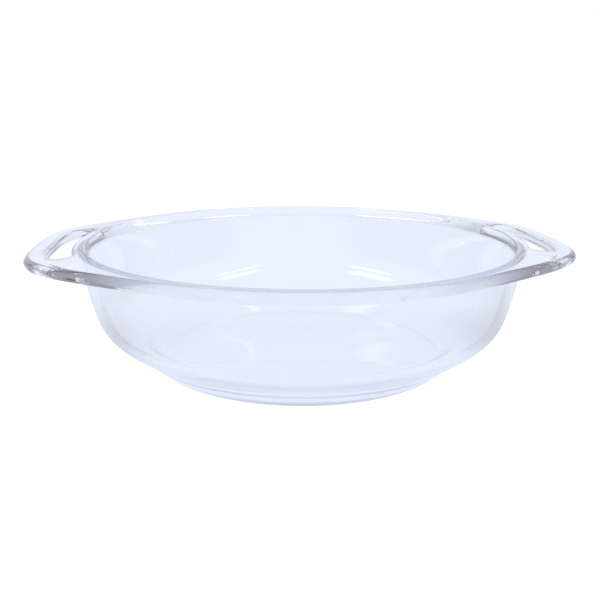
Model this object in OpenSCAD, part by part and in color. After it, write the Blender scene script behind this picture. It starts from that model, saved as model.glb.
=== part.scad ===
// Round glass baking dish with two open loop handles, pressed in one piece.
// Origin at the middle of the base, +X through the handles, +Z up, millimetres.

/* [Bowl] */
// Outer diameter of the rim
rim_d = 230; // [200:1:260]
// Height from the table to the top of the rim
height = 63; // [56:1:76]
// How far the rim stands out past the wall below it
rim_overhang = 4.1; // [3.6:0.1:5]
// Thickness of the wall
wall_t = 4.5; // [3.5:0.1:5.5]
// Thickness of the base above the foot ring
base_t = 5; // [4:0.1:7]
// Lean of the wall from upright, just under the rim
wall_lean = 10; // [4:0.5:14]
// Lean of the wall from upright, where it meets the foot
heel_lean = 53; // [48:1:60]
// Length over which the wall keeps to its upper lean
wall_pull = 42; // [32:1:46]
// Length over which the heel keeps to its lower lean
heel_pull = 35; // [26:1:40]
// Width of the band over which the inner wall runs out into the floor
floor_blend = 13; // [11:0.5:18]
// Length over which that band keeps to the wall at one edge and to the floor at the other
floor_pull = 1.5; // [1:0.1:3]

/* [Foot] */
// Outer diameter of the foot ring
foot_d = 152; // [130:1:162]
// Height at which the wall meets the side of the foot ring
foot_h = 2; // [1.8:0.1:3.4]
// Width of the flat that the dish stands on
foot_w = 8; // [5:0.5:12]
// Radius at the outer edge of the foot ring
foot_round = 1.6; // [1:0.1:1.7]
// Depth of the shallow hollow under the base, which rises from the flat to the middle
hollow = 0.6; // [0.2:0.1:1.2]

/* [Rim] */
// Thickness of the rim and of the handles
rim_t = 5.6; // [4.8:0.1:6.6]
// Width of the top of the rim, from its outer face to its inner edge
lip_w = 3.5; // [3.3:0.1:4.5]
// Length over which the top of the rim stays level on its way in
lip_pull = 2; // [1:0.1:3]
// Length over which the inner wall stays straight on its way up to the rim
flare_pull = 3.5; // [2:0.1:4.5]
// Radius of the two corners of the outer edge of the rim
edge_round = 0.8; // [0.4:0.1:2.2]
// Radius where the wall runs into the underside of the rim
root_r = 1.2; // [0.6:0.1:2]

/* [Handles] */
// How far each handle reaches out past the rim
handle_reach = 20; // [17:0.5:26]
// Angle from the middle of a handle at which it leaves the rim
handle_angle = 56; // [53:1:62]
// Length over which the side of a handle runs on straight from the rim
side_pull = 86; // [76:1:96]
// Length over which the end of a handle stays square to its reach
tip_pull = 45; // [38:1:52]
// Width of the bar round the finger opening
bar_w = 10.5; // [8:0.5:12]
// Angle from the middle of a handle to each end of its finger opening
eye_angle = 16; // [12:1:24]
// Rounding of the edges of the finger opening
eye_round = 2; // [1:0.1:2.2]
// How far the tip of a handle lies below the rim
handle_dip = 1.3; // [0:0.1:3]

/* [Hidden] */
rim_r = rim_d / 2;
wall_r = rim_r - rim_overhang;
foot_r = foot_d / 2;
tip_r = rim_r + handle_reach;
under_z = height - rim_t;
// Steps along each stretch of the section and of a quarter turn
wall_steps = 10;
base_steps = 3;
blend_steps = 4;
round_steps = 3;
handle_steps = 14;
rim_steps = 7;
eye_steps = 13;
eye_end_steps = 6;
// How far the cutter of a finger opening passes each face of the handle
cut_over = 0.5;
// Angle to which the rounded edge of a finger opening turns before it runs out straight
edge_turn = 60;
// Length of one degree of arc on a circle of radius 1
degree = PI / 180;
// Angle to each side over which the slope of the outline is measured
slope_step = 0.5;
// Colour of the glass, with its opacity
glass_tint = [0.88, 0.92, 0.97, 0.6];

// Point at t on a cubic curve with the ends a and d and the handles b and c
function cubic(a, b, c, d, t) =
    pow(1 - t, 3) * a + 3 * pow(1 - t, 2) * t * b + 3 * (1 - t) * t * t * c + pow(t, 3) * d;
// Direction, of length 1, in which that curve runs at t
function cubic_way(a, b, c, d, t) =
    let (w = pow(1 - t, 2) * (b - a) + 2 * (1 - t) * t * (c - b) + t * t * (d - c)) w / norm(w);
// Points of an arc about c, from angle a0 to a1
function arc(c, r, a0, a1, steps) =
    [for (i = [0:steps]) let (a = a0 + (a1 - a0) * i / steps) c + r * [cos(a), sin(a)]];

// The outer face of the bowl in section: one cubic from the rim's root down to the foot
wall_top = [wall_r, under_z - root_r];
wall_foot = [foot_r, foot_h];
wall_ends = [
    wall_top,
    wall_top - wall_pull * [sin(wall_lean), cos(wall_lean)],
    wall_foot + heel_pull * [sin(heel_lean), cos(heel_lean)],
    wall_foot
];
function outer_wall(t) = cubic(wall_ends[0], wall_ends[1], wall_ends[2], wall_ends[3], t);
function wall_way(t) = cubic_way(wall_ends[0], wall_ends[1], wall_ends[2], wall_ends[3], t);
// The inner face is the outer one, set in by the wall's thickness
function inner_wall(t) = let (w = wall_way(t)) outer_wall(t) + wall_t * [w[1], -w[0]];

// Plan of a handle: one cubic from where it leaves the rim to its tip
leave = rim_r * [cos(handle_angle), sin(handle_angle)];
function handle_edge(t) = cubic(
    leave,
    leave + side_pull * [sin(handle_angle), -cos(handle_angle)],
    [tip_r, tip_pull],
    [tip_r, 0],
    t
);
function heading(p) = atan2(p[1], p[0]);
// Where on that cubic the angle a lies, found by halving
function edge_at(a, low = 0, high = 1, tries = 26) =
    let (mid = (low + high) / 2)
    tries == 0 ? mid
    : heading(handle_edge(mid)) > a ? edge_at(a, mid, high, tries - 1)
    : edge_at(a, low, mid, tries - 1);
// Radius of the outline at an angle of up to 90 from the middle of a handle
function outline_r(a) = abs(a) >= handle_angle ? rim_r : norm(handle_edge(edge_at(abs(a))));
// How far along a handle's reach the outline lies: 0 at the rim, 1 at the tip
function reach_share(r) = max(0, r - rim_r) / handle_reach;
// The handles dip evenly towards their tips
function dip(r) = handle_dip * reach_share(r);
// The corners of the outer edge grow along a handle, until the tip is fully round
function corner(r) = edge_round + (rim_t / 2 - edge_round) * min(1, reach_share(r));

// Angles of a quarter turn, closer together round the bend of the handle
quarter = concat(
    [for (i = [0:handle_steps - 1]) handle_angle * i / handle_steps],
    [for (i = [0:rim_steps]) handle_angle + (90 - handle_angle) * i / rim_steps]
);
quarter_steps = len(quarter) - 1;
stations = 4 * quarter_steps;
function quarter_step(i) = let (k = i % (2 * quarter_steps)) k <= quarter_steps ? k : 2 * quarter_steps - k;
function station_angle(i) =
    let (half = floor(i / (2 * quarter_steps)), k = i % (2 * quarter_steps), a = quarter[quarter_step(i)])
    180 * half + (k <= quarter_steps ? a : 180 - a);

// Section of the dish in the plane of one station, from the middle of the base out
// and up round the rim, then down the inside to the middle of the floor
function section(reach) =
    let (
        flat_r = foot_r - foot_round,
        hollow_r = flat_r - foot_w,
        drop = dip(reach),
        turn_r = corner(reach),
        inner_foot = inner_wall(1),
        inner_top = inner_wall(0),
        floor_r = inner_foot[0] - floor_blend,
        lip = [rim_r - lip_w, height]
    )
    concat(
        [for (i = [1:base_steps])
            cubic([0, hollow], [hollow_r / 2, hollow], [hollow_r / 2, 0], [hollow_r, 0], i / base_steps)],
        arc([flat_r, foot_round], foot_round, -90, 0, round_steps),
        [for (i = [wall_steps:-1:1]) outer_wall(i / wall_steps)],
        arc([wall_r + root_r, under_z - root_r], root_r, 180, 90, round_steps),
        arc([reach - turn_r, under_z + turn_r - drop], turn_r, -90, 0, round_steps),
        arc([reach - turn_r, height - turn_r - drop], turn_r, 0, 90, round_steps),
        [lip],
        [for (i = [1:blend_steps - 1])
            cubic(
                lip,
                lip - [lip_pull, 0],
                inner_top - flare_pull * wall_way(0),
                inner_top,
                i / blend_steps
            )],
        [for (i = [0:wall_steps]) inner_wall(i / wall_steps)],
        [for (i = [1:blend_steps])
            cubic(
                inner_foot,
                inner_foot + floor_pull * wall_way(1),
                [floor_r + floor_pull, base_t],
                [floor_r, base_t],
                i / blend_steps
            )]
    );

// Outer skin of the whole dish, lofted through the section at every station
module skin() {
    turns = [for (i = [0:stations - 1])
        let (a = station_angle(i), reach = outline_r(quarter[quarter_step(i)]))
        [for (p = section(reach)) [p[0] * cos(a), p[0] * sin(a), p[1]]]];
    rings = len(turns[0]);
    points = concat([for (turn = turns) each turn], [[0, 0, hollow], [0, 0, base_t]]);
    base_mid = stations * rings;
    floor_mid = base_mid + 1;
    faces = [for (i = [0:stations - 1])
        let (here = i * rings, next = (i + 1) % stations * rings)
        each concat(
            [[base_mid, here, next], [floor_mid, next + rings - 1, here + rings - 1]],
            [for (k = [0:rings - 2]) each [
                [here + k, here + k + 1, next + k + 1],
                [here + k, next + k + 1, next + k]
            ]]
        )];
    polyhedron(points, faces, convexity = 8);
}

// Plan of a finger opening: the rim's outer face on one side, the handle's outline
// set in by the bar on the other, and a round end where they come together
function bar_slope(a) =
    atan((outline_r(a + slope_step) - outline_r(a - slope_step)) / (2 * slope_step * degree * outline_r(a)));
function eye_outer_r(a) = outline_r(a) - bar_w / cos(bar_slope(a));
eye_slope = -bar_slope(eye_angle);
eye_end_r = (eye_outer_r(eye_angle) - rim_r) / (1 + cos(eye_slope));
eye_end_angle = eye_angle - eye_end_r * sin(eye_slope) / rim_r / degree;
function polar(r, a) = r * [cos(a), sin(a)];
// Half of the plan, from the middle of the outer side round the end to the inner side
eye_half = concat(
    [for (i = [0:eye_steps - 1]) let (a = eye_angle * i / eye_steps) polar(eye_outer_r(a), a)],
    [for (i = [0:eye_end_steps]) let (a = 90 - eye_slope - (180 - eye_slope) * i / eye_end_steps)
        polar(rim_r + eye_end_r * (1 + sin(a)), eye_end_angle + eye_end_r * cos(a) / rim_r / degree)],
    [for (i = [eye_steps - 1:-1:0]) polar(rim_r, eye_end_angle * i / eye_steps)]
);
eye_plan = concat(
    eye_half,
    [for (i = [len(eye_half) - 2:-1:1]) [eye_half[i][0], -eye_half[i][1]]]
);

// Height from the waist and growth of the cutter of a finger opening, level by level
eye_levels =
    let (
        straight = rim_t / 2 - eye_round,
        run_out = eye_round * (1 - sin(edge_turn)) + cut_over,
        upper = [
            for (a = [0, edge_turn / 2, edge_turn])
                [straight + eye_round * sin(a), eye_round * (1 - cos(a))],
            [rim_t / 2 + cut_over, eye_round * (1 - cos(edge_turn)) + run_out * tan(edge_turn)]
        ]
    )
    concat([for (i = [len(upper) - 1:-1:0]) [-upper[i][0], upper[i][1]]], upper);

// Cutter of one finger opening, its edges flared at the faces of the handle
module eye() {
    count = len(eye_plan);
    levels = len(eye_levels);
    points = [for (level = eye_levels) for (i = [0:count - 1])
        let (
            p = eye_plan[i],
            along = eye_plan[(i + 1) % count] - eye_plan[(i + count - 1) % count],
            out = [along[1], -along[0]] / norm(along),
            grown = p + level[1] * out
        )
        [grown[0], grown[1], height - rim_t / 2 - dip(norm(p)) + level[0]]];
    walls = [for (k = [0:levels - 2]) for (i = [0:count - 1])
        let (a = k * count + i, b = k * count + (i + 1) % count)
        each [[a, a + count, b + count], [a, b + count, b]]];
    ends = [
        [for (i = [0:count - 1]) i],
        [for (i = [count - 1:-1:0]) (levels - 1) * count + i]
    ];
    polyhedron(points, concat(walls, ends), convexity = 8);
}

// The dish: one piece of clear pressed glass
module dish() {
    color(glass_tint)
    difference() {
        skin();
        for (side = [0, 1]) rotate([0, 0, 180 * side]) eye();
    }
}

dish();
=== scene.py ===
import math
import bmesh
import bpy
import numpy as np
from mathutils import Matrix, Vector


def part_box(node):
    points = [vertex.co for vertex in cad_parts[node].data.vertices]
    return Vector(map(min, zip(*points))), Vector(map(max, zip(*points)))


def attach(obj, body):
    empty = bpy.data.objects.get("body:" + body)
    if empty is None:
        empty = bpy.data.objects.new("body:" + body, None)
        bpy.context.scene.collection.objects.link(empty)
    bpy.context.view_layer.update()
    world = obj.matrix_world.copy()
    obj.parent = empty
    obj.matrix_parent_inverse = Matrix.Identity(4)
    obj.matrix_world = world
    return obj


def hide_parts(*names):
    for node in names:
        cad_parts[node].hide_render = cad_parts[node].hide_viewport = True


# A round baking dish of clear pressed glass with two open loop handles.
# +X runs through the handles and +Z up out of the bowl. Sizes are in millimetres
# until a mesh, a lamp or the camera is made.
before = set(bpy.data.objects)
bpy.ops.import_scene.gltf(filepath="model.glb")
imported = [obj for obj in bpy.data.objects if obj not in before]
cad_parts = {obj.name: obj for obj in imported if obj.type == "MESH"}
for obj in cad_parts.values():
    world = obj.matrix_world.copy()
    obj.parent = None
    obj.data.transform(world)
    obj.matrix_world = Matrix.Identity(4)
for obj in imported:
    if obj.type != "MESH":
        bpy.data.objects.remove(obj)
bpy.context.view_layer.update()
mm = 0.001
nodeLow, nodeHigh = [np.array(corner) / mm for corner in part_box("dish")]
print("frame loaded, dish of", np.round(nodeHigh - nodeLow, 1), "mm")

dish = {
    "rimR": nodeHigh[1],
    "tipR": nodeHigh[0],
    "height": nodeHigh[2],
    "rimOverhang": 4.1,
    "wallT": 4.5,
    "baseT": 5.0,
    "wallLean": 10.0,  # from upright, just under the rim
    "heelLean": 53.0,  # from upright, at the foot
    "wallPull": 42.0,  # a pull is the length of a curve's handle
    "heelPull": 35.0,
    "floorBlend": 13.0,
    "floorPull": 1.5,
    "footR": 76.0,
    "footH": 2.0,
    "footW": 6.8,
    "footEdge": 3.5,  # from the foot's radius in to the flat
    "footRound": 7.5,
    "footBlend": 2.0,
    "baseHandle": 0.5,  # the hollow's curve leaves and meets level over this share of its reach
    "hollow": 0.6,  # under the middle of the base
    "rimT": 5.6,
    "lipW": 5.6,  # wide enough for light to pass below the lip, so that only a thin line is dark
    "lipPull": 1.4,
    "flarePull": 3.0,
    "rootR": 1.2,
    "edgeRound": 0.35,  # corners of the rim's outer edge; a handle's tip is fully round
    "handleAngle": 56.0,
    "sidePull": 86.0,
    "tipPull": 45.0,
    "handleDip": 1.3,
    "barW": 10.5,
    "eyeAngle": 16.0,
    "eyeRound": 2.0,
}

# Steps of the mesh along each stretch of the section and of a quarter turn
steps = {
    "base": 8,
    "foot": 6,
    "wall": 26,
    "wallFoot": 3,  # the wall's last rows, which the blend out of the foot replaces
    "root": 4,
    "edge": 7,
    "flare": 8,
    "floorBlend": 10,
    "floor": 8,
    "bar": 4,
    "eyeEnd": 12,
    "land": 2,
    "eyeSide": 22,
    "eyeRound": 6,
    "handleEnd": 34,
    "fadeOut": 18,
    "rim": 32,
    "outline": 600,
}
edgeRow = 0.3  # how far inside the edge of a flat a row lies, so that it shades flat
slopeStep = math.radians(0.5)  # the outline's slope is taken over this much to each side
weldGap = 0.002  # points nearer than this are one


def cubic(a, b, c, d, count):
    # Points of a cubic curve: (1-t)^3 a + 3 (1-t)^2 t b + 3 (1-t) t^2 c + t^3 d, t from 0 to 1
    t = np.linspace(0, 1, count + 1)[:, None]
    a, b, c, d = [np.asarray(point, float) for point in (a, b, c, d)]
    return (1 - t) ** 3 * a + 3 * (1 - t) ** 2 * t * b + 3 * (1 - t) * t * t * c + t ** 3 * d


def cubicWay(a, b, c, d, count):
    # Unit directions of the same curve at the same points: its derivative over its length
    t = np.linspace(0, 1, count + 1)[:, None]
    way = (1 - t) ** 2 * (b - a) + 2 * (1 - t) * t * (c - b) + t * t * (d - c)
    return way / np.linalg.norm(way, axis=1, keepdims=True)


def arc(middle, radius, start, end, count):
    # Points of a circle: middle + radius (cos a, sin a), for a from start to end in degrees
    a = np.radians(np.linspace(start, end, count + 1))
    return np.asarray(middle, float) + radius * np.stack([np.cos(a), np.sin(a)], 1)


def lean(angle):
    # Unit vector that leans out from upright: (sin a, cos a)
    return np.array([math.sin(math.radians(angle)), math.cos(math.radians(angle))])


def between(start, end, count):
    # Rows spaced evenly from one column of values to another, both ends included
    share = np.linspace(0, 1, count + 1)
    return start[:, None] * (1 - share) + end[:, None] * share


def makeOutline():
    # Plan of a handle as heading and radius: a cubic from its tip, square to the reach,
    # to the rim's circle, which it joins along the tangent
    a = math.radians(dish["handleAngle"])
    leave = dish["rimR"] * np.array([math.cos(a), math.sin(a)])
    tip = np.array([dish["tipR"], 0])
    along = dish["sidePull"] * np.array([math.sin(a), -math.cos(a)])
    path = cubic(tip, tip + [0, dish["tipPull"]], leave + along, leave, steps["outline"])
    return np.arctan2(path[:, 1], path[:, 0]), np.hypot(path[:, 0], path[:, 1])


outlineHeading, outlineReach = makeOutline()


def outlineR(heading):
    # Radius of the dish's outline at a heading of up to a quarter turn from a handle
    return np.interp(np.abs(heading), outlineHeading, outlineReach, right=dish["rimR"])


def eyeHalf():
    # Half of a finger opening's plan and its outward normals, from the middle of the outer
    # side round the end to the middle of the inner side. The outer side is the outline set
    # in by the bar, the inner side the rim's circle, and the end a circle touching both.
    rimR, eyeAngle = dish["rimR"], math.radians(dish["eyeAngle"])
    outerHeading = np.linspace(0, eyeAngle, steps["eyeSide"] + 1)
    reach = outlineR(outerHeading)
    ahead, behind = outlineR(outerHeading + slopeStep), outlineR(outerHeading - slopeStep)
    slope = np.arctan((ahead - behind) / (2 * slopeStep) / reach)
    outerR = reach - dish["barW"] / np.cos(slope)
    endR = (outerR[-1] - rimR) / (1 + math.cos(slope[-1]))
    endHeading = eyeAngle + endR * math.sin(slope[-1]) / rimR
    turn = np.linspace(math.pi / 2 + slope[-1], -math.pi / 2, steps["eyeEnd"] + 1)
    innerHeading = np.linspace(endHeading, 0, steps["eyeSide"] + 1)[1:]
    endRing = endHeading + endR * np.cos(turn) / rimR, rimR + endR * (1 + np.sin(turn))
    heading = np.concatenate([outerHeading[:-1], endRing[0], innerHeading])
    radius = np.concatenate([outerR[:-1], endRing[1], np.full(len(innerHeading), rimR)])
    plan = np.stack([radius * np.cos(heading), radius * np.sin(heading)], 1)
    loop = np.concatenate([plan, plan[-2:0:-1] * [1, -1]])
    along = (np.roll(loop, -1, 0) - np.roll(loop, 1, 0))[:len(plan)]
    out = np.stack([along[:, 1], -along[:, 0]], 1)
    return plan, out / np.linalg.norm(out, axis=1, keepdims=True)


def bowlSection():
    # What of the section is the same all round: the outside from the middle of the base to
    # the rim's root, and the inside from the lip to the middle of the floor
    underZ, footR = dish["height"] - dish["rimT"], dish["footR"]
    wallTop = np.array([dish["rimR"] - dish["rimOverhang"], underZ - dish["rootR"]])
    wallFoot = np.array([footR, dish["footH"]])
    ends = (wallTop, wallTop - dish["wallPull"] * lean(dish["wallLean"]),
            wallFoot + dish["heelPull"] * lean(dish["heelLean"]), wallFoot)
    outer, way = cubic(*ends, steps["wall"]), cubicWay(*ends, steps["wall"])
    inner = outer + dish["wallT"] * np.stack([way[:, 1], -way[:, 0]], 1)
    # the base is a shallow hollow inside the flat; a row just inside its edge keeps it flat
    flatR, hollow = footR - dish["footEdge"], dish["hollow"]
    hollowR = flatR - dish["footW"]
    levelR = dish["baseHandle"] * hollowR
    base = cubic([0, hollow], [levelR, hollow], [levelR, 0], [hollowR, 0], steps["base"])
    flat = [[flatR - edgeRow, 0]]
    # the foot's outer edge turns up to the heel's lean and a soft blend carries it on
    foot = arc([flatR, dish["footRound"]], dish["footRound"], -90, -dish["heelLean"], steps["foot"])
    join, heel = steps["wall"] - steps["wallFoot"], dish["footBlend"] * lean(dish["heelLean"])
    fillet = cubic(foot[-1], foot[-1] + heel, outer[join] - heel, outer[join], steps["foot"])
    root = arc(wallTop + [dish["rootR"], 0], dish["rootR"], 180, 90, steps["root"])
    outside = np.concatenate([base, flat, foot, fillet[1:-1], outer[join:0:-1], root])
    lip = np.array([dish["rimR"] - dish["lipW"], dish["height"]])
    flare = cubic(lip, lip - [dish["lipPull"], 0],
                  inner[0] - dish["flarePull"] * way[0], inner[0], steps["flare"])
    floorR = inner[-1, 0] - dish["floorBlend"]
    runOut = cubic(inner[-1], inner[-1] + dish["floorPull"] * way[-1],
                   [floorR + dish["floorPull"], dish["baseT"]], [floorR, dish["baseT"]],
                   steps["floorBlend"])
    floorRings = np.linspace(floorR, 0, steps["floor"] + 1)[1:]
    floor = np.stack([floorRings, np.full(len(floorRings), dish["baseT"])], 1)
    return outside, np.concatenate([flare[:-1], inner[:-1], runOut, floor])


def flangeFace(heading, edgeR, drop, bowlEnd, eyeR, eyeHeading):
    # One face of the rim and handle: radius, heading and height of rows from its edge in to
    # the bowl. Beside the opening the rows keep the shares that they have at its end, and
    # their bend round that end fades out; over it they are the bar and the land inside it.
    side, count = steps["eyeSide"], steps["eyeEnd"]
    width = edgeR - bowlEnd[0]
    end = slice(side, side + count + 1)
    share = (edgeR[side] - eyeR[end]) / width[side]
    fade = np.clip(1 - (np.arange(len(heading)) - side) / steps["fadeOut"], 0, 1)
    fade = fade * fade * (3 - 2 * fade)
    middleR = edgeR[:, None] - share * width[:, None]
    middleHeading = heading[:, None] + fade[:, None] * (eyeHeading[end] - heading[side])
    middleR[:side, 0], middleHeading[:side, 0] = eyeR[:side], eyeHeading[:side]
    middleR[:side, -1], middleHeading[:side, -1] = eyeR[:-side - 1:-1], eyeHeading[:-side - 1:-1]

    def inward(edge, middle, bowl):
        # Rows from the edge over the bar, over the middle and over the land to the bowl
        bar = between(edge, middle[:, 0], steps["bar"])[:, :-1]
        land = between(middle[:, -1], bowl, steps["land"])[:, 1:]
        return np.concatenate([bar, middle, land], 1)

    radius = inward(edgeR, middleR, np.full(len(heading), bowlEnd[0]))
    turned = inward(heading, middleHeading, heading)
    height = bowlEnd[1] - drop[:, None] * np.clip((radius - bowlEnd[0]) / width[:, None], 0, 1)
    return radius, turned, height


def quarterOfDish():
    # The skin and the opening's wall over a quarter turn from +X to +Y, as two grids of
    # points, with the skin's cells that the opening takes away marked
    eyeStop, handleStop = math.radians(dish["eyeAngle"]), math.radians(dish["handleAngle"])
    heading = np.concatenate([np.linspace(0, eyeStop, steps["eyeSide"], endpoint=False),
                              np.linspace(eyeStop, handleStop, steps["handleEnd"], endpoint=False),
                              np.linspace(handleStop, math.pi / 2, steps["rim"] + 1)])
    reach = outlineR(heading)
    share = (reach - dish["rimR"]) / (dish["tipR"] - dish["rimR"])
    drop, rimT, eyeRound = dish["handleDip"] * share, dish["rimT"], dish["eyeRound"]
    corner = (dish["edgeRound"] + (rimT / 2 - dish["edgeRound"]) * share)[:, None]
    edgeR = reach - corner[:, 0]
    outside, inside = bowlSection()
    plan, out = eyeHalf()
    grown = plan + eyeRound * out
    eye = np.hypot(grown[:, 0], grown[:, 1]), np.arctan2(grown[:, 1], grown[:, 0])
    under = flangeFace(heading, edgeR, drop, outside[-1], *eye)
    top = flangeFace(heading, edgeR, drop, inside[0], *eye)

    # the outer edge turns up round a corner, radius r sin a, height r (1 - cos a), and round
    # its mirror image at the top; the band between has a row just inside each of its edges
    turn = np.radians(np.linspace(0, 90, steps["edge"] + 1))[1:]
    bandRow = corner + np.minimum(edgeRow, rimT / 2 - corner)
    stand, rise = corner * np.sin(turn), corner * (1 - np.cos(turn))
    edgeOut = np.concatenate([stand, corner, corner, stand[:, ::-1]], 1)
    edgeRise = np.concatenate([rise, bandRow, rimT - bandRow, rimT - rise[:, ::-1]], 1)
    edge = (edgeR[:, None] + edgeOut, np.repeat(heading[:, None], edgeOut.shape[1], 1),
            (dish["height"] - rimT - drop)[:, None] + edgeRise)

    def allRound(points):
        # The same rows of the section at every heading
        radius, height = [np.tile(column, (len(heading), 1)) for column in points.T]
        return radius, np.repeat(heading[:, None], len(points), 1), height

    stretches = [allRound(outside[:-1]), [part[:, ::-1] for part in under], edge, top,
                 allRound(inside[1:])]
    radius, turned, height = [np.concatenate(part, 1) for part in zip(*stretches)]
    skin = np.stack([radius * np.cos(turned), radius * np.sin(turned), height], 2)

    # cells of both faces between the bar's rows and the land's rows are open
    cells = np.ones((len(heading) - 1, radius.shape[1] - 1), bool)
    underStart = len(outside) - 1 + steps["land"]
    topStart = len(outside) - 1 + under[0].shape[1] + edgeOut.shape[1] + steps["bar"]
    for start in (underStart, topStart):
        cells[:steps["eyeSide"], start:start + steps["eyeEnd"]] = False

    # the opening's wall: a quarter round at each face, growth r (1 - sin a), depth r (1 - cos a)
    a = np.radians(np.linspace(0, 90, steps["eyeRound"] + 1))
    growth = eyeRound * np.concatenate([1 - np.sin(a), (1 - np.sin(a))[::-1]])
    depth = eyeRound * (1 - np.cos(a))
    ringR = plan[None] + growth[:, None, None] * out[None]
    faceZ = [eyeRing(face[2]) for face in (top, under)]
    ringZ = np.concatenate([faceZ[0] - depth[:, None], faceZ[1] + depth[::-1, None]])
    wall = np.concatenate([ringR, ringZ[:, :, None]], 2)
    return skin, cells, wall


def eyeRing(face):
    # What a face holds along the opening's edge: outer side, end and inner side
    side, first, last = steps["eyeSide"], steps["bar"], steps["bar"] + steps["eyeEnd"]
    return np.concatenate([face[:side, first], face[side, first:last + 1], face[:side, last][::-1]])


def gridFaces(shape, keep=None, first=0):
    # Four corners of each kept cell of a grid, numbered row by row from first
    number = first + np.arange(shape[0] * shape[1]).reshape(shape[:2])
    corners = np.stack([number[:-1, :-1], number[:-1, 1:], number[1:, 1:], number[1:, :-1]], 2)
    return corners[keep] if keep is not None else corners.reshape(-1, 4)


def weldedPiece(name, points, faces):
    # A mesh from points in millimetres, its meeting points merged and its faces turned out
    mesh = bpy.data.meshes.new(name)
    mesh.from_pydata((points * mm).tolist(), [], faces.tolist())
    work = bmesh.new()
    work.from_mesh(mesh)
    bmesh.ops.remove_doubles(work, verts=work.verts, dist=weldGap * mm)
    loose = [vert for vert in work.verts if not vert.link_faces]
    bmesh.ops.delete(work, geom=loose, context="VERTS")
    bmesh.ops.recalc_face_normals(work, faces=work.faces)
    for face in work.faces:
        face.smooth = True
    work.to_mesh(mesh)
    work.free()
    piece = bpy.data.objects.new(name, mesh)
    bpy.context.scene.collection.objects.link(piece)
    return piece


def buildDish():
    # A quarter of the dish mirrored in X, in Y and in both, welded into one closed skin
    skin, cells, wall = quarterOfDish()
    points = np.concatenate([skin.reshape(-1, 3), wall.reshape(-1, 3)])
    skinCount = skin.shape[0] * skin.shape[1]
    faces = np.concatenate([gridFaces(skin.shape, cells), gridFaces(wall.shape, first=skinCount)])
    mirrors = [(1, 1, 1), (-1, 1, 1), (-1, -1, 1), (1, -1, 1)]
    allPoints = np.concatenate([points * mirror for mirror in mirrors])
    allFaces = np.concatenate([faces + len(points) * i for i in range(len(mirrors))])
    return weldedPiece("pressed_dish", allPoints, allFaces)


def linearColour(hexText):
    # sRGB hex to linear: c / 12.92 where dark, else ((c + 0.055) / 1.055) to the power 2.4
    srgb = np.array([int(hexText[i:i + 2], 16) / 255 for i in (0, 2, 4)])
    linear = np.where(srgb <= 0.04045, srgb / 12.92, ((srgb + 0.055) / 1.055) ** 2.4)
    return (*linear.tolist(), 1.0)


def addNode(tree, kind, settings=None, inputs=None, links=None):
    # Adds a node, sets its attributes and sockets, and links the outputs given to its sockets
    node = tree.nodes.new(kind)
    for name, value in (settings or {}).items():
        setattr(node, name, value)
    for name, value in (inputs or {}).items():
        node.inputs[name].default_value = value
    for name, output in (links or {}).items():
        tree.links.new(output, node.inputs[name])
    return node


def sideways(tree, across, start, end):
    # How far to either side a place or direction lies: 0 up to start, 1 past end
    size = addNode(tree, "ShaderNodeMath", {"operation": "ABSOLUTE"}, {}, {0: across})
    return addNode(tree, "ShaderNodeMapRange", {"interpolation_type": "SMOOTHSTEP"},
                   {"From Min": start, "From Max": end}, {"Value": size.outputs[0]}).outputs[0]


def emptyMaterial(name):
    # A new material and its node tree, with no nodes in it
    material = bpy.data.materials.new(name)
    material.use_nodes = True
    material.node_tree.nodes.clear()
    return material, material.node_tree


glass = {
    "ior": 1.48,
    "tint": "d0d1d5",
    "tintDepth": 140.0,  # millimetres of glass that give the tint
    "rippleSize": 34.0,
    "rippleDetail": 1.0,
    "rippleRoughness": 0.4,
    "rippleStrength": 0.015,
    "rippleHeight": 1.0,
    "roughness": 0.004,
    "shadeTint": "fafbfd",  # what each face passes to what lies in the dish's shadow
    "lastBounce": 3.5,  # light passes straight on after more reflections than this
    "paintedHandleShade": "b7b2b2",  # painted shade: what each face passes of late light in the handles
    "handleShadeFrom": 66.0,  # the painted shade grows between these distances to each side
    "handleShadeTo": 110.0,
}


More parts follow.
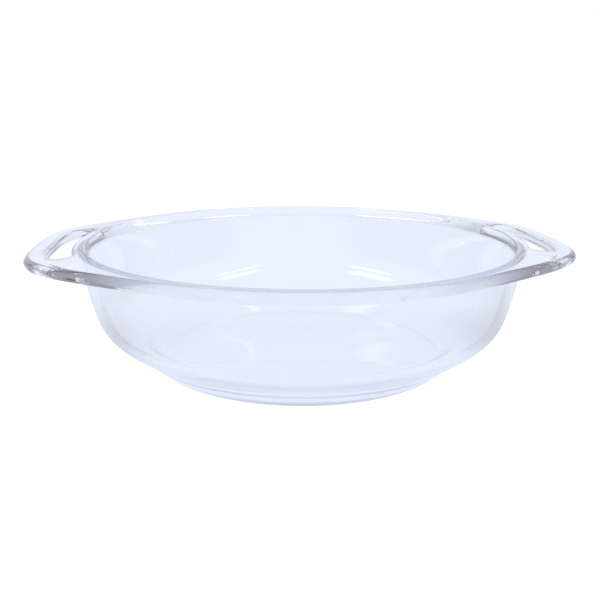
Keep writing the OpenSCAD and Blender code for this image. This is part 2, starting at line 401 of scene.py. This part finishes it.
def clearPressedGlass():
    # Clear borosilicate oven glass, pressed in a mould and fire-polished: a hard, wet gloss,
    # soft ripples where it chilled against the mould, and a faint cool tint in the thick
    material, tree = emptyMaterial("clearPressedGlass")
    place = addNode(tree, "ShaderNodeTexCoord")
    ripple = addNode(tree, "ShaderNodeTexNoise", {},
                     {"Scale": 1 / (glass["rippleSize"] * mm), "Detail": glass["rippleDetail"],
                      "Roughness": glass["rippleRoughness"]},
                     {"Vector": place.outputs["Object"]})
    bump = addNode(tree, "ShaderNodeBump", {},
                   {"Strength": glass["rippleStrength"], "Distance": glass["rippleHeight"] * mm},
                   {"Height": ripple.outputs["Fac"]})
    surface = addNode(tree, "ShaderNodeBsdfPrincipled", {},
                      {"Base Color": (1, 1, 1, 1), "IOR": glass["ior"], "Transmission Weight": 1.0,
                       "Roughness": glass["roughness"]},
                      {"Normal": bump.outputs["Normal"]})
    # lamps light the floor through the glass, and light that has been round inside the rim
    # many times leaves it, where a count of bounces would end it black. In the handles that
    # late light takes a darker tint that grows towards each side. This is painted shade, standing in
    # for the light that the thick handles really lose on their much longer path through the glass.
    path = addNode(tree, "ShaderNodeLightPath")
    matt = addNode(tree, "ShaderNodeMath", {"operation": "MAXIMUM"}, {},
                   {0: path.outputs["Is Shadow Ray"], 1: path.outputs["Is Diffuse Ray"]})
    late = addNode(tree, "ShaderNodeMath", {"operation": "GREATER_THAN"}, {1: glass["lastBounce"]},
                   {0: path.outputs["Glossy Depth"]})
    either = addNode(tree, "ShaderNodeMath", {"operation": "MAXIMUM"}, {},
                     {0: matt.outputs[0], 1: late.outputs[0]})
    split = addNode(tree, "ShaderNodeSeparateXYZ", {}, {}, {0: place.outputs["Object"]})
    outward = sideways(tree, split.outputs["X"], glass["handleShadeFrom"] * mm, glass["handleShadeTo"] * mm)
    # painted shade: late light darkens towards the handles, by the distance to each side
    dimmer = addNode(tree, "ShaderNodeMath", {"operation": "MULTIPLY"}, {},
                     {0: outward, 1: late.outputs[0]})
    passTint = addNode(tree, "ShaderNodeMixRGB", {},
                       {1: linearColour(glass["shadeTint"]), 2: linearColour(glass["paintedHandleShade"])},
                       {0: dimmer.outputs[0]})
    passing = addNode(tree, "ShaderNodeBsdfTransparent", {}, {}, {"Color": passTint.outputs[0]})
    mixed = addNode(tree, "ShaderNodeMixShader", {}, {},
                    {0: either.outputs[0], 1: surface.outputs["BSDF"], 2: passing.outputs["BSDF"]})
    body = addNode(tree, "ShaderNodeVolumeAbsorption", {},
                   {"Color": linearColour(glass["tint"]), "Density": 1 / (glass["tintDepth"] * mm)})
    addNode(tree, "ShaderNodeOutputMaterial", {}, {},
            {"Surface": mixed.outputs[0], "Volume": body.outputs["Volume"]})
    return material


piece = buildDish()
piece.data.materials.append(clearPressedGlass())
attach(piece, "root")
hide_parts("dish")
print("dish made:", len(piece.data.polygons), "faces")

studio = {
    "floorHalf": 3000.0,
    "paper": "b0b3ba",
    "floorGap": 0.2,
    "whiteGlow": 0.65,  # with the paper's own light, white
    "floorSweep": "dce6f8",  # pale cool sheet that the glass shows
    "sweepGlow": 0.54,
    "sideGlow": 0.26,
    "sideFrom": 76.0,
    "sideTo": 118.0,
    "backFrom": -10.0,  # the dim sides end at the back between here
    "backTo": 80.0,
    "worldTint": "ebf1ff",
    "worldSweep": 1.0,
    "worldSide": 0.45,
    "worldSideFrom": 0.4,  # the world's dim sides grow between these; 1 is straight to a side
    "worldSideTo": 0.8,
    "worldHighFrom": 0.2,  # and end above the horizon between these; 1 is straight up
    "worldHighTo": 0.5,
    "worldLight": 0.95,
}


def lightPathSplit(tree):
    # 1 for rays from the camera, and 1 for rays that come through or off the glass
    path = addNode(tree, "ShaderNodeLightPath")
    throughGlass = addNode(tree, "ShaderNodeMath", {"operation": "MAXIMUM"}, {},
                           {0: path.outputs["Is Glossy Ray"], 1: path.outputs["Is Transmission Ray"]})
    return path.outputs["Is Camera Ray"], throughGlass.outputs[0]


def paleFloor():
    # Matt white paper: lit by the lamps, so that it keeps a faint shadow, under a glow that
    # only the camera and the glass see. To the glass it is the pale sweep, dimmer at both
    # sides of the front half.
    material, tree = emptyMaterial("mattPaperFloor")
    fromCamera, fromGlass = lightPathSplit(tree)
    place = addNode(tree, "ShaderNodeTexCoord")
    split = addNode(tree, "ShaderNodeSeparateXYZ", {}, {}, {0: place.outputs["Object"]})
    side = sideways(tree, split.outputs["X"], studio["sideFrom"] * mm, studio["sideTo"] * mm)
    front = addNode(tree, "ShaderNodeMapRange", {"interpolation_type": "SMOOTHSTEP"},
                    {"From Min": studio["backFrom"] * mm, "From Max": studio["backTo"] * mm,
                     "To Min": 1.0, "To Max": 0.0}, {"Value": split.outputs["Y"]})
    beside = addNode(tree, "ShaderNodeMath", {"operation": "MULTIPLY"}, {},
                     {0: side, 1: front.outputs[0]})
    dimmed = addNode(tree, "ShaderNodeMapRange", {},
                     {"To Min": studio["sweepGlow"], "To Max": studio["sideGlow"]},
                     {"Value": beside.outputs[0]})
    sweep = addNode(tree, "ShaderNodeMath", {"operation": "MULTIPLY"}, {},
                    {0: dimmed.outputs[0], 1: fromGlass})
    white = addNode(tree, "ShaderNodeMath", {"operation": "MULTIPLY"}, {1: studio["whiteGlow"]},
                    {0: fromCamera})
    sweepGlow = addNode(tree, "ShaderNodeEmission", {}, {"Color": linearColour(studio["floorSweep"])},
                        {"Strength": sweep.outputs[0]})
    whiteGlow = addNode(tree, "ShaderNodeEmission", {}, {"Color": (1, 1, 1, 1)},
                        {"Strength": white.outputs[0]})
    glow = addNode(tree, "ShaderNodeAddShader", {}, {},
                   {0: sweepGlow.outputs[0], 1: whiteGlow.outputs[0]})
    paper = addNode(tree, "ShaderNodeBsdfDiffuse", {}, {"Color": linearColour(studio["paper"])})
    both = addNode(tree, "ShaderNodeAddShader", {}, {}, {0: glow.outputs[0], 1: paper.outputs[0]})
    addNode(tree, "ShaderNodeOutputMaterial", {}, {}, {"Surface": both.outputs[0]})
    half, low = studio["floorHalf"] * mm, -studio["floorGap"] * mm
    corners = [(-half, -half, low), (half, -half, low), (half, half, low), (-half, half, low)]
    mesh = bpy.data.meshes.new("studio_floor")
    mesh.from_pydata(corners, [], [(0, 1, 2, 3)])
    floor = bpy.data.objects.new("studio_floor", mesh)
    bpy.context.scene.collection.objects.link(floor)
    mesh.materials.append(material)


def studioWorld():
    # White to the camera, plain soft light on the floor, and to the glass the pale sweep,
    # dimmer at both sides near the horizon
    world = bpy.data.worlds.new("studio")
    bpy.context.scene.world = world
    world.use_nodes = True
    tree = world.node_tree
    tree.nodes.clear()
    fromCamera, fromGlass = lightPathSplit(tree)
    place = addNode(tree, "ShaderNodeTexCoord")
    split = addNode(tree, "ShaderNodeSeparateXYZ", {}, {}, {0: place.outputs["Generated"]})
    side = sideways(tree, split.outputs["X"], studio["worldSideFrom"], studio["worldSideTo"])
    high = sideways(tree, split.outputs["Z"], studio["worldHighFrom"], studio["worldHighTo"])
    low = addNode(tree, "ShaderNodeMath", {"operation": "SUBTRACT"}, {0: 1.0}, {1: high})
    share = addNode(tree, "ShaderNodeMath", {"operation": "MULTIPLY"}, {},
                    {0: side, 1: low.outputs[0]})
    seen = addNode(tree, "ShaderNodeMapRange", {},
                   {"To Min": studio["worldSweep"], "To Max": studio["worldSide"]},
                   {"Value": share.outputs[0]})
    sweep = addNode(tree, "ShaderNodeBackground", {}, {"Color": linearColour(studio["worldTint"])},
                    {"Strength": seen.outputs[0]})
    soft = addNode(tree, "ShaderNodeBackground", {},
                   {"Color": (1, 1, 1, 1), "Strength": studio["worldLight"]})
    white = addNode(tree, "ShaderNodeBackground", {}, {"Color": (1, 1, 1, 1), "Strength": 1.0})
    unseen = addNode(tree, "ShaderNodeMixShader", {}, {},
                     {0: fromGlass, 1: soft.outputs[0], 2: sweep.outputs[0]})
    pick = addNode(tree, "ShaderNodeMixShader", {}, {},
                   {0: fromCamera, 1: unseen.outputs[0], 2: white.outputs[0]})
    addNode(tree, "ShaderNodeOutputWorld", {}, {}, {"Surface": pick.outputs[0]})


# Two pairs of long tubes, which leave a double streak on each side of the far wall
lamps = {
    "rightOuter": {"at": (870, -860, 1400), "size": (115, 1190), "turn": -10.0},
    "rightInner": {"at": (598, -272, 1400), "size": (115, 735), "turn": -18.0},
    "leftOuter": {"at": (-1273, -716, 1400), "size": (250, 1020), "turn": 8.7},
    "leftInner": {"at": (-714, -73, 1400), "size": (250, 727), "turn": 4.7},
}
tubeGlow = 3.0


def addLamp(name, at, size, turn):
    # A tube that shines straight down; its watts are its glow times pi times its area
    data = bpy.data.lights.new(name, "AREA")
    data.shape = "RECTANGLE"
    data.size, data.size_y = [length * mm for length in size]
    data.energy = tubeGlow * math.pi * data.size * data.size_y
    lamp = bpy.data.objects.new(name, data)
    bpy.context.scene.collection.objects.link(lamp)
    lamp.location = [length * mm for length in at]
    lamp.rotation_euler.z = math.radians(turn)


paleFloor()
studioWorld()
for lampName, lamp in lamps.items():
    addLamp(lampName, **lamp)
print("studio made:", len(lamps), "lamps")

view = {
    "distance": 400.0,
    "aboveRim": 73.6,
    "turn": 5.66,
    "pitch": 15.0,
    "roll": -0.22,
    "focalPixels": 782.3,
    "imageSide": 600,
    "middleX": 301.4,
    "sensor": 36.0,
    "nearest": 10.0,
    "farthest": 20000.0,
}


def addCamera():
    # The camera stands where the photograph's did, turned about the dish's axis. Its frame
    # is right, up and back; the roll turns right and up about the back axis.
    turn, pitch, roll = [math.radians(view[name]) for name in ("turn", "pitch", "roll")]
    ahead = np.array([math.sin(turn), math.cos(turn), 0])
    forward = ahead * math.cos(pitch) - np.array([0, 0, math.sin(pitch)])
    right = np.array([math.cos(turn), -math.sin(turn), 0])
    up = np.cross(right, forward)
    rolledRight = right * math.cos(roll) - up * math.sin(roll)
    rolledUp = right * math.sin(roll) + up * math.cos(roll)
    place = -view["distance"] * ahead + [0, 0, dish["height"] + view["aboveRim"]]
    data = bpy.data.cameras.new("camera")
    data.sensor_width = view["sensor"]
    data.lens = view["focalPixels"] * view["sensor"] / view["imageSide"]
    data.shift_x = (view["imageSide"] / 2 - view["middleX"]) / view["imageSide"]
    data.clip_start, data.clip_end = view["nearest"] * mm, view["farthest"] * mm
    camera = bpy.data.objects.new("camera", data)
    bpy.context.scene.collection.objects.link(camera)
    axes = np.stack([rolledRight, rolledUp, -forward, place * mm], 1)
    camera.matrix_world = Matrix(np.vstack([axes, [0, 0, 0, 1]]).tolist())
    bpy.context.scene.camera = camera


addCamera()
bpy.context.scene.view_settings.view_transform = "Standard"
